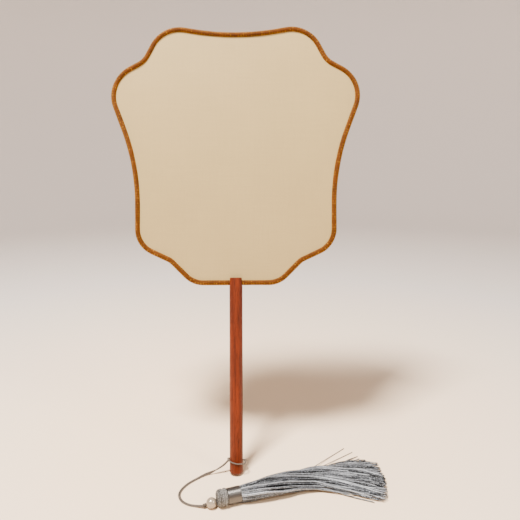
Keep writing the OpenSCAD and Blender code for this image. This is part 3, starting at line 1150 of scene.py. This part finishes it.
@dataclass
class Head:
    """The head: two stretched silks and the wrapped rim.

    Attributes:
        frame: The fan's frame.
        wardrobe: The finishes.
        outline: The head's outline.
        rim_radius: The wrapped rim's radius, in millimetres.
        silk_edge: How far inside the rim's middle line the silk ends.
        silk_thick: The thickness of one silk.
        lining_thick: The thickness of the paper between the silks.
        middle_height: The height of the middle of the face.
    """

    frame: FanFrame
    wardrobe: Wardrobe
    outline: Outline = field(default_factory=Outline)
    rim_radius: float = 2.6
    silk_edge: float = 1.5
    silk_thick: float = 0.3
    lining_thick: float = 0.4
    middle_height: float = 128.0

    def flat(self, x: np.ndarray, h: np.ndarray, front: np.ndarray | float) -> np.ndarray:
        """Places points of the head: across, up and in front of its middle plane."""
        front = np.broadcast_to(front, np.shape(x))
        return self.frame.place(np.stack([x, -front, h + self.frame.head_z], axis=-1).reshape(-1, 3))

    def build(self) -> None:
        """Makes both silks and the rim."""
        self.silk("silk_front_stretched", "silk_front", 1)
        self.silk("silk_back_stretched", "silk_back", -1)
        self.rim()

    def silk(self, name: str, node: str, side: int) -> None:
        """Stretches one silk over the paper, with faint hollows where it pulls from the rim.

        Args:
            name: The piece's name.
            node: The node that it stands for.
            side: 1 for the front and -1 for the back.
        """
        edge = evenly(self.outline.points(self.silk_edge), 3.0, closed=True)
        centre = np.array([0.0, self.middle_height])
        shares = np.concatenate([np.linspace(0.0, 0.9, 31)[1:], np.linspace(0.9, 1.0, 8)[1:]])
        grid = centre + shares[:, None, None] * (edge - centre)[None]
        x, h = grid[..., 0], grid[..., 1]
        calm = 1 - ease(0.9, 1.0, shares)[:, None]
        swell = 0.10 * np.sin(x / 23 + 1.1) * np.sin(h / 31 + 0.4 * side) + 0.05 * np.sin(x / 9 - h / 14)
        skin = Skin()
        half = self.lining_thick / 2
        for outer in (True, False):
            lift = (half + self.silk_thick * 0.9 + 0.1 * swell * calm) if outer else half + 0.02 + 0 * swell
            at = self.flat(x, h, side * lift).reshape(*x.shape, 3)
            facing = side if outer else -side
            order = slice(None) if facing > 0 else slice(None, None, -1)
            self._disc(skin, at[:, order], x[:, order], h[:, order], side * lift, centre)
        self._hem(skin, edge, side, half)
        made = skin.piece(name, self.wardrobe.get(Slot.SILK))
        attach(made, Body.FAN.value)
        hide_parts(node)
        LOG.info("%s: %d points", name, skin.count)

    def _disc(
        self, skin: Skin, at: np.ndarray, x: np.ndarray, h: np.ndarray, lift: np.ndarray, centre: np.ndarray
    ) -> None:
        """Adds rings from the middle to the edge, with the place across and up as the map."""
        high, wide = x.shape
        base = skin.count
        hub = self.flat(np.array([centre[0]]), np.array([centre[1]]), float(np.mean(lift[0])))
        skin.points.append(np.vstack([hub, at.reshape(-1, 3)]))
        skin.tones.append(np.full(high * wide + 1, 0.5))
        skin.count += high * wide + 1
        for k in range(wide):
            n = (k + 1) % wide
            skin.faces.append((base, base + 1 + k, base + 1 + n))
            skin.maps += [tuple(centre), (x[0, k], h[0, k]), (x[0, n], h[0, n])]
            for i in range(high - 1):
                a, b = i * wide, (i + 1) * wide
                skin.faces.append((base + 1 + a + k, base + 1 + b + k, base + 1 + b + n, base + 1 + a + n))
                skin.maps += [(x[i, k], h[i, k]), (x[i + 1, k], h[i + 1, k])]
                skin.maps += [(x[i + 1, n], h[i + 1, n]), (x[i, n], h[i, n])]

    def _hem(self, skin: Skin, edge: np.ndarray, side: int, half: float) -> None:
        """Closes the silk's edge, which is hidden in the rim."""
        lifts = [half + 0.02, half + self.silk_thick * 0.9]
        if side < 0:
            lifts.reverse()
        rows = np.stack([self.flat(edge[:, 0], edge[:, 1], side * lift) for lift in lifts])
        run = np.concatenate([lengths(edge), [lengths(edge)[-1] + 3.0]])
        skin.grid(rows[::-1], [0.0, self.silk_thick], run, ends=False)

    def rim(self) -> None:
        """Wraps the hoop in its strip, which creases on the inside of tight bends."""
        line = evenly(self.outline.points(0.0, 1.5), 1.0, closed=True)
        ahead, behind = np.roll(line, -1, axis=0), np.roll(line, 1, axis=0)
        way = ahead - behind
        way /= np.linalg.norm(way, axis=1, keepdims=True)
        inward = np.stack([-way[:, 1], way[:, 0]], axis=1)
        bend = np.linalg.norm(ahead + behind - 2 * line, axis=1)
        bend = np.convolve(np.concatenate([bend[-6:], bend, bend[:6]]), np.ones(13) / 13, "valid")
        run = np.arange(len(line), dtype=float)
        sides = 24
        turns = np.arange(sides) / sides
        hollow = np.cos(TURN * turns)[None, :]
        wave = np.sin(TURN * run / 2.3 + 3 * np.sin(run / 17))[:, None]
        slow = (np.sin(run / 11) + np.sin(run / 4.7 + 1) + np.sin(run / 29 + 2))[:, None]
        seam = np.exp(-(((turns[None, :] - 0.68) / 0.02) ** 2))
        radius = (
            self.rim_radius
            - 0.04
            + 0.025 * slow
            + 2.2 * bend[:, None] * np.maximum(hollow, 0) * wave
            - 0.12 * seam
        )
        x = line[:, :1] + radius * hollow * inward[:, :1]
        h = line[:, 1:] + radius * hollow * inward[:, 1:]
        front = radius * np.sin(TURN * turns)[None, :]
        rows = self.flat(x, h, front).reshape(len(line), sides, 3)[:, ::-1]
        skin = Skin()
        whole = round(len(line) / FIGURE_PITCH) * FIGURE_PITCH
        at = np.arange(len(line) + 1) * whole / len(line)
        skin.grid(rows, at, np.arange(sides + 1) / sides, loop=True)
        made = skin.piece("rim_wrapped", self.wardrobe.get(Slot.BROCADE))
        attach(made, Body.FAN.value)
        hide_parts("rim_binding")
        LOG.info("rim_wrapped: %d points, %.0f mm round", skin.count, whole)


@dataclass
class Bead:
    """The pearl bead.

    Attributes:
        cord: The cord that it is on.
        wardrobe: The finishes.
        radius: Its radius, in millimetres.
        bore: The radius of its hole.
    """

    cord: Cord
    wardrobe: Wardrobe
    radius: float = 4.75
    bore: float = 1.2

    def build(self) -> None:
        """Turns the bead, with a small rounded lip at each end of its hole."""
        start = math.asin(self.bore / self.radius) + 0.05
        a = np.linspace(start, math.pi - start, 49)
        ball = np.stack([-self.radius * np.cos(a), self.radius * np.sin(a)], axis=1)
        lip = ball[0, 0] + 0.12
        inside = np.array(
            [[0.0, self.bore], [lip * 0.5, self.bore], [lip, self.bore], [lip - 0.1, self.bore + 0.05]]
        )
        outside = inside[::-1] * (-1, 1)
        profile = np.vstack([inside, ball, outside]) * MM
        rows = Axle(self.cord.bead, self.cord.bore).turned(profile, 64)
        skin = Skin()
        skin.grid(rows, lengths(profile) / MM, np.arange(65) / 64, ends=False)
        made = skin.piece("bead_pearl", self.wardrobe.get(Slot.PEARL))
        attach(made, Body.BEAD.value)
        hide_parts("pearl_bead")
        LOG.info("bead_pearl: %.1f mm", 2 * self.radius)


@dataclass
class Tassel:
    """The tassel: knitted cap, wound collar and loose skirt.

    Attributes:
        cord: The cord that it hangs on.
        wardrobe: The finishes.
        turn: The turn of its head in plan, in degrees.
        cap_radius: The cap's radius, in millimetres.
        cap_start: Where the cap starts, from the bead's middle.
        cap_length: The cap's length.
        collar_radius: The collar's radius.
        collar_length: The collar's length.
        mouth: The radius of the cord's hole in the cap.
        locks: How many locks the skirt falls into.
        threads: How many threads each lock has.
        thread_radius: A thread's radius.
        sections: The skirt's run: x and y of its middle from the foot, half its width and its
            height, past the collar.
        strays: Threads beside the skirt: x and y of their tips from the foot, the share of the
            way where they leave, and how many there are.
    """

    cord: Cord
    wardrobe: Wardrobe
    turn: float = 19.5
    cap_radius: float = 7.6
    cap_start: float = 5.0
    cap_length: float = 9.0
    collar_radius: float = 7.0
    collar_length: float = 12.5
    mouth: float = 1.5
    locks: int = 46
    threads: int = 9
    thread_radius: float = 0.36
    sections: tuple[tuple[float, float, float, float], ...] = (
        (24.5, -34, 11.8, 15.2),
        (36.5, -28.8, 14, 14.2),
        (50, -22.7, 15, 12.6),
        (63, -17.6, 16, 10.4),
        (76, -13.4, 18, 9),
        (93, -11.8, 21.4, 8),
        (107, -11.4, 24.5, 7),
        (125, -12.8, 27.2, 6),
        (142, -15.6, 28.5, 5),
    )
    strays: tuple[tuple[float, float, float, int], ...] = (
        (111, 42, 0.5, 1),
        (118.6, 35, 0.56, 1),
        (121, 25.5, 0.72, 5),
        (128, 20.5, 0.78, 4),
        (122, -42, 0.62, 3),
    )

    @property
    def axle(self) -> Axle:
        """The level axis of the cap and collar, from above the bead's middle."""
        x, y, _ = self.cord.bead
        a = math.radians(self.turn)
        return Axle(np.array([x, y, self.cap_radius * MM]), np.array([math.cos(a), math.sin(a), 0.0]))

    def build(self) -> None:
        """Makes the cap, collar and skirt."""
        for made, node, slot in (
            (self.cap(), "tassel_cap", Slot.CAP),
            (self.collar(), "tassel_collar", Slot.SATIN),
            (self.skirt(), "tassel_skirt", Slot.THREAD),
        ):
            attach(made, Body.TASSEL.value)
            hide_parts(node)
            LOG.info("%s: %d points", made.name, len(made.data.vertices))

    def cap(self) -> bpy.types.Object:
        """Knits the cap: rows of small loops over a domed button and a ridge behind it, with painted shade
        between the loops and on the button.
        """
        r, n = self.cap_radius, self.cap_start
        dome = [(-90 + 90 * k / 12) for k in range(13)]
        line = [(n + 3, self.mouth), (n + 0.6, self.mouth), (n + 0.1, self.mouth + 0.4)]
        line += [
            (n + 2.8 + 2.8 * math.sin(math.radians(a)), r - 3.0 + 2.8 * math.cos(math.radians(a)))
            for a in dome
        ]
        line += [(n + 4.8, r - 0.2), (n + 5.5, r - 0.75), (n + 5.8, r - 0.95), (n + 6.1, r - 0.7)]
        line += [(n + 6.6, r - 0.1), (n + 7.4, r), (n + 8.2, r - 0.25), (n + 8.8, r - 0.9)]
        line += [(n + self.cap_length, 5.0), (n + self.cap_length, 3.0)]
        profile = evenly(np.array(line), 0.16) * MM
        at = lengths(profile) / MM
        sides, stitches = 240, 28
        turns = np.arange(sides) / sides
        u = (turns * stitches)[None, :]
        v = (at / 1.4)[:, None]
        row = np.floor(v)
        lean = np.where(row % 2 == 0, 0.5, -0.5)
        cross = (u + lean * (v - row)) % 1.0
        loop = np.sqrt(np.maximum(0, 1 - ((cross - 0.5) / 0.5) ** 2)) * np.sin(math.pi * (v - row)) ** 0.5
        fade = ease(2.5, 5.0, at)[:, None] * (1 - ease(at[-1] - 4, at[-1] - 2, at))[:, None]
        raised = (0.62 * loop - 0.42) * fade * MM
        skin = Skin()
        rows = self.axle.turned(profile, sides, raised)
        skin.grid(rows, at, np.arange(sides + 1) / sides * stitches / 2)
        made = skin.piece("cap_knitted", self.wardrobe.get(Slot.CAP))
        # Painted shade: the tone is low between the loops, and the domed button is painted darker than the
        # ridge behind it.
        tone = np.clip(0.85 * loop, 0, 1)
        tone *= np.where(at[:, None] < 10.5, 0.85, 1.1)
        made.data.attributes["tone"].data.foreach_set("value", tone.astype(np.float32).ravel())
        return made

    def collar(self) -> bpy.types.Object:
        """Winds the satin collar, turn beside turn, over the bound top of the skirt."""
        start = self.cap_start + self.cap_length
        end = start + self.collar_length
        r = self.collar_radius
        flat = np.linspace(start + 0.35, end - 0.35, 170)
        line = [(start + 0.5, r - 0.6), (start + 0.1, r - 0.35)]
        line += [(t, r - 0.02) for t in flat] + [(end - 0.1, r - 0.35), (end - 0.5, r - 0.6)]
        profile = np.array(line) * MM
        sides = 96
        turns = np.arange(sides)[None, :] / sides
        wound = np.abs(np.sin(math.pi * (profile[:, :1] / (0.36 * MM) + turns)))
        ends = np.ones((len(line), 1))
        ends[:2] = ends[-2:] = 0
        slack = 0.03 * np.sin(TURN * (2 * turns + 0.1)) * np.sin(profile[:, :1] / (2.9 * MM))
        raised = ((0.07 * wound - 0.06) + slack) * ends * MM
        skin = Skin()
        rows = self.axle.turned(profile, sides, raised)
        girth = TURN * r
        skin.grid(rows, profile[:, 0] / MM, np.arange(sides + 1) / sides * girth, ends=False)
        return skin.piece("collar_wound", self.wardrobe.get(Slot.SATIN))

    def run(self, count: int) -> tuple[np.ndarray, np.ndarray]:
        """Follows the skirt.

        Args:
            count: How many stations it gets. A third are near the collar.

        Returns:
            The share of the way and the station's middle x, y, half width and height.
        """
        tip = self.cap_start + self.cap_length + self.collar_length
        a, foot = math.radians(self.turn), self.cord.bead_from_foot
        heads = [
            (foot[0] + t * math.cos(a), foot[1] + t * math.sin(a), w, 2 * self.cap_radius - 1.2)
            for t, w in ((tip - 9, 6.0), (tip - 5, 6.0), (tip - 0.5, 6.4), (tip + 2.6, 8.2))
        ]
        marks = [heads[0], *heads, *self.sections]
        last = 2 * np.array(marks[-1]) - np.array(marks[-2])
        curve = through(np.array([*marks, tuple(last)], float), 8)
        at = lengths(curve[:, :2])
        near = np.linspace(0, 0.12, count // 3, endpoint=False)
        share = np.concatenate([near, np.linspace(0.12, 1, count - count // 3)])
        rows = np.stack([np.interp(share * at[-1], at, curve[:, k]) for k in range(4)], axis=1)
        return share, rows

    def skirt(self) -> bpy.types.Object:
        """Lays the loose threads in locks that part, twist and fray towards their ends, with painted shade
        on the inner locks and painted light on the higher threads.
        """
        rng = random.Random(20)
        share, rows = self.run(54)
        way = np.gradient(rows[:, :2], axis=0)
        way /= np.linalg.norm(way, axis=1, keepdims=True)
        across = np.stack([-way[:, 1], way[:, 0]], axis=1)
        parted = ease(0.07, 0.26, share)
        frayed = ease(0.5, 1.0, share)
        turned = math.radians(62) * ease(0.12, 0.85, share)
        r = self.thread_radius
        skin = Skin()
        for lock in range(self.locks):
            out = math.sqrt((lock + 0.5) / self.locks) * 0.93
            spoke = lock * GOLDEN_ANGLE
            sway, rise = wander(rng, 5, 0.075), wander(rng, 4, 0.09)
            tight = rng.uniform(0.035, 0.07)
            # The lock's tone differs at random, and inner locks are painted darker as shade inside the
            # skirt.
            lock_tone_and_shade = rng.uniform(-0.12, 0.18) + 0.1 + 0.42 * ease(0.5, 0.85, out)
            for thread in range(self.threads):
                small = math.sqrt((thread + 0.5) / self.threads)
                angle = thread * GOLDEN_ANGLE + lock
                even = 0.15 * (1 - parted) + tight * parted + 0.12 * frayed
                lay = angle + 2.2 * share
                stray, lifted = wander(rng, 4, 0.04), wander(rng, 3, 0.1)
                u = out * np.cos(spoke + turned) + parted * sway(share) + small * even * np.cos(lay)
                w = out * np.sin(spoke + turned) + parted * rise(share) + small * even * np.sin(lay) * 1.3
                u = u + (0.5 * parted + frayed) * stray(share)
                w = w + frayed * lifted(share)
                size = np.maximum(1.0, np.hypot(u, w) / (1 + 0.14 * frayed))
                u, w = u / size, w / size
                crimp = (1 - ease(0.05, 0.11, share)) * 0.12 * np.sin(share * 420 + lock * 2 + thread)
                end = 1 - 0.05 * max(0.0, u[-1]) - 0.1 * rng.random() ** 1.6
                side = rows[:, 2] * (u + 0.1 * crimp)
                x = rows[:, 0] + across[:, 0] * side
                y = rows[:, 1] + across[:, 1] * side
                z = r + (rows[:, 3] - 2 * r) / 2 * (1 + w) + crimp
                line = self._cut(share, np.stack([x, y, z], axis=1), end)
                patches = wander(rng, 9, 0.12)
                own = rng.uniform(-0.3, 0.3) * (1 + 0.7 * frayed)
                # Higher threads are painted lighter, as light falling from above.
                tone = lock_tone_and_shade + own + 0.1 * float(w.mean()) + patches(share)
                tone = np.clip(tone + 0.1 * (1 - ease(0.05, 0.12, share)), 0, 1)[: len(line)]
                thin = r * (1 + 0.2 * ease(0.5, 0.9, share[: len(line)])) * MM
                thin[-1] *= 0.6
                skin.tube(self.cord.frame.on_floor(line), thin, 5, tone)
        self._strays(skin, share, rows, across, rng)
        return skin.piece("skirt_threads", self.wardrobe.get(Slot.THREAD))

    @staticmethod
    def _cut(share: np.ndarray, line: np.ndarray, end: float) -> np.ndarray:
        """Cuts a line off at a share of its way, with a last point at the cut."""
        keep = share < end - 0.004
        tip = [np.interp(end, share, line[:, k]) for k in range(3)]
        return np.vstack([line[keep], tip])

    def _strays(
        self, skin: Skin, share: np.ndarray, rows: np.ndarray, across: np.ndarray, rng: random.Random
    ) -> None:
        """Adds the threads that have left the skirt and lie beside it.

        Args:
            skin: The skirt's mesh.
            share: The stations' shares of the way.
            rows: The stations.
            across: The direction across the skirt at each station.
            rng: The source of chance.
        """
        r = self.thread_radius
        for x, y, leave, count in self.strays:
            side = 1 if y > 0 else -1
            for k in range(count):
                start = int(np.searchsorted(share, leave - 0.04 * k / max(1, count)))
                edge = rows[start, :2] + across[start] * side * rows[start, 2] * 0.8
                inner = rows[start - 5, :2] + across[start - 5] * side * rows[start - 5, 2] * 0.8
                fan_out = 1.3 * (k - count / 2) * (count > 1)
                tip = np.array([x + rng.uniform(-3, 3) * (count > 1), y + fan_out])
                lift = rows[start, 3] * 0.35
                marks = np.array(
                    [
                        [*(2 * inner - edge), lift],
                        [*inner, lift],
                        [*edge, lift * 0.9],
                        [*(edge * 0.45 + tip * 0.55 + (0, 0.6 * side)), r + 0.5 + 0.3 * k],
                        [*tip, r + 0.1],
                        [*(1.4 * tip - 0.4 * edge), r],
                    ]
                )
                line = through(marks, 6)
                line[:, 2] = np.maximum(line[:, 2], r + 0.02)
                skin.tube(self.cord.frame.on_floor(line), r * MM, 5, rng.uniform(0.25, 0.6))


@dataclass
class PackedParts:
    """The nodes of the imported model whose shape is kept, which only take a finish.

    Attributes:
        nodes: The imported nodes.
        wardrobe: The finishes.
    """

    nodes: dict[str, bpy.types.Object]
    wardrobe: Wardrobe

    def build(self) -> None:
        """Dresses each kept node."""
        for name, slot in (
            ("handle", Slot.WOOD),
            ("hoop", Slot.BAMBOO),
            ("paper_lining", Slot.PAPER),
            ("cord_through_bead", Slot.CORD),
            ("cord_end_knot", Slot.CORD),
        ):
            self.wardrobe.dress(self.nodes[name], slot)
            LOG.info("%s: %s", name, slot.value)


# --- the studio --------------------------------------------------------------------------------


@dataclass(frozen=True)
class Viewpoint:
    """Where the camera stands and how it is turned.

    Attributes:
        place: Its place, in metres.
        down: How far it looks down, in degrees.
        right: How far it is turned to the right.
        roll: How far it is rolled to the left.
        lens: Its focal length for a 36 mm sensor.
    """

    place: tuple[float, float, float] = (0.0251, -0.5019, 0.307)
    down: float = 11.91
    right: float = -0.155
    roll: float = -0.259
    lens: float = 35.93

    def build(self) -> None:
        """Sets up the camera."""
        data = bpy.data.cameras.new("camera")
        data.lens, data.sensor_width = self.lens, 36.0
        data.clip_start, data.clip_end = 0.01, 50.0
        camera = bpy.data.objects.new("camera", data)
        camera.matrix_world = (
            Matrix.Translation(self.place)
            @ Matrix.Rotation(math.radians(-self.right), 4, "Z")
            @ Matrix.Rotation(math.radians(90 - self.down), 4, "X")
            @ Matrix.Rotation(math.radians(self.roll), 4, "Z")
        )
        bpy.context.scene.collection.objects.link(camera)
        bpy.context.scene.camera = camera


@dataclass(frozen=True)
class SoftBox:
    """A square lamp that aims at a point.

    Attributes:
        name: Its name.
        place: Where it hangs, in metres.
        aim: What it points at.
        size: The length of its side.
        power: Its power, in watts.
        colour: The colour of its light.
    """

    name: str
    place: tuple[float, float, float]
    aim: tuple[float, float, float]
    size: float
    power: float
    colour: Colour = (1.0, 1.0, 1.0)

    def build(self) -> None:
        """Hangs the lamp."""
        data = bpy.data.lights.new(self.name, "AREA")
        data.size, data.energy, data.color = self.size, self.power, self.colour
        lamp = bpy.data.objects.new(self.name, data)
        lamp.location = self.place
        lamp.rotation_euler = (Vector(self.aim) - Vector(self.place)).to_track_quat("-Z", "Y").to_euler()
        bpy.context.scene.collection.objects.link(lamp)


@dataclass
class Studio:
    """The plain pale floor and the soft light.

    Attributes:
        near: The floor's colour around the fan.
        far: Its colour further off.
        reach: The backdrop's radius, in metres.
        rise: The radius of the curve between the floor and the backdrop.
        wall: The backdrop's height.
        lamps: The lamps.
    """

    near: Colour = field(default_factory=lambda: shade("FFE4C4"))
    far: Colour = field(default_factory=lambda: shade("F0E6E0"))
    reach: float = 2.6
    rise: float = 0.9
    wall: float = 2.4
    lamps: tuple[SoftBox, ...] = (
        SoftBox("key_lamp", (-0.35, -0.42, 1.5), (0.0, -0.02, 0.15), 0.34, 82.0, (1.0, 0.935, 0.85)),
        SoftBox("side_lamp", (1.2, -0.7, 1.1), (0.0, 0.0, 0.15), 0.4, 10.0, (1.0, 0.94, 0.86)),
    )

    def build(self) -> None:
        """Lays the floor, hangs the lamps and fills the air with light."""
        self.floor()
        for lamp in self.lamps:
            lamp.build()
        world = bpy.data.worlds.new("studio_air")
        world.use_nodes = True
        back = world.node_tree.nodes["Background"]
        back.inputs[0].default_value = (*shade("E6DEDA"), 1.0)
        back.inputs[1].default_value = 0.24
        bpy.context.scene.world = world

    def floor(self) -> None:
        """Lays a round floor that curves up into a backdrop and turns cooler away from the fan."""
        bend = np.linspace(0, math.pi / 2, 13)
        flat = np.array([0.001, 0.3, 0.6, 0.9, self.reach - self.rise])
        radii = np.concatenate([flat, self.reach - self.rise * (1 - np.sin(bend[1:])), [self.reach]])
        heights = np.concatenate([0 * flat, self.rise * (1 - np.cos(bend[1:])), [self.wall]])
        a = TURN * np.arange(96) / 96
        ring = np.stack([np.cos(a), np.sin(a), np.zeros(96)], axis=1)
        skin = Skin()
        skin.grid(
            radii[:, None, None] * ring[None] + heights[:, None, None] * (0, 0, 1) - (0, 0, 0.00002),
            radii.tolist(),
            (np.arange(97) / 96).tolist(),
            ends=False,
        )
        made = bpy.data.materials.new("floor_paint")
        made.use_nodes = True
        made.node_tree.nodes.clear()
        g = Graph(made.node_tree)
        place = g.node("TexCoord").outputs["Object"]
        away = g.node("VectorMath", {0: place}, operation="LENGTH").outputs["Value"]
        colour = g.mixed(g.spread(away, 0.15, 0.75), self.near, self.far)
        surface = g.node("BsdfPrincipled", {"Base Color": colour, "Roughness": 0.85})
        g.node("OutputMaterial", {"Surface": surface.outputs[0]})
        floor = skin.piece("floor", made)


def main() -> None:
    """Builds the camera, the cord, the rest of the fan and the studio, in that order."""
    logging.basicConfig(level=logging.INFO, format="%(name)s %(message)s")
    for item in list(bpy.data.objects):
        bpy.data.objects.remove(item)
    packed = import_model()
    Viewpoint().build()
    frame = FanFrame.from_handle()
    wardrobe = Wardrobe(Effects(), frame.lean)
    cord = Cord(frame, wardrobe)
    cord.build()
    Bead(cord, wardrobe).build()
    Tassel(cord, wardrobe).build()
    Head(frame, wardrobe).build()
    PackedParts(packed["nodes"], wardrobe).build()
    Studio().build()


if __name__ == "__main__":
    main()
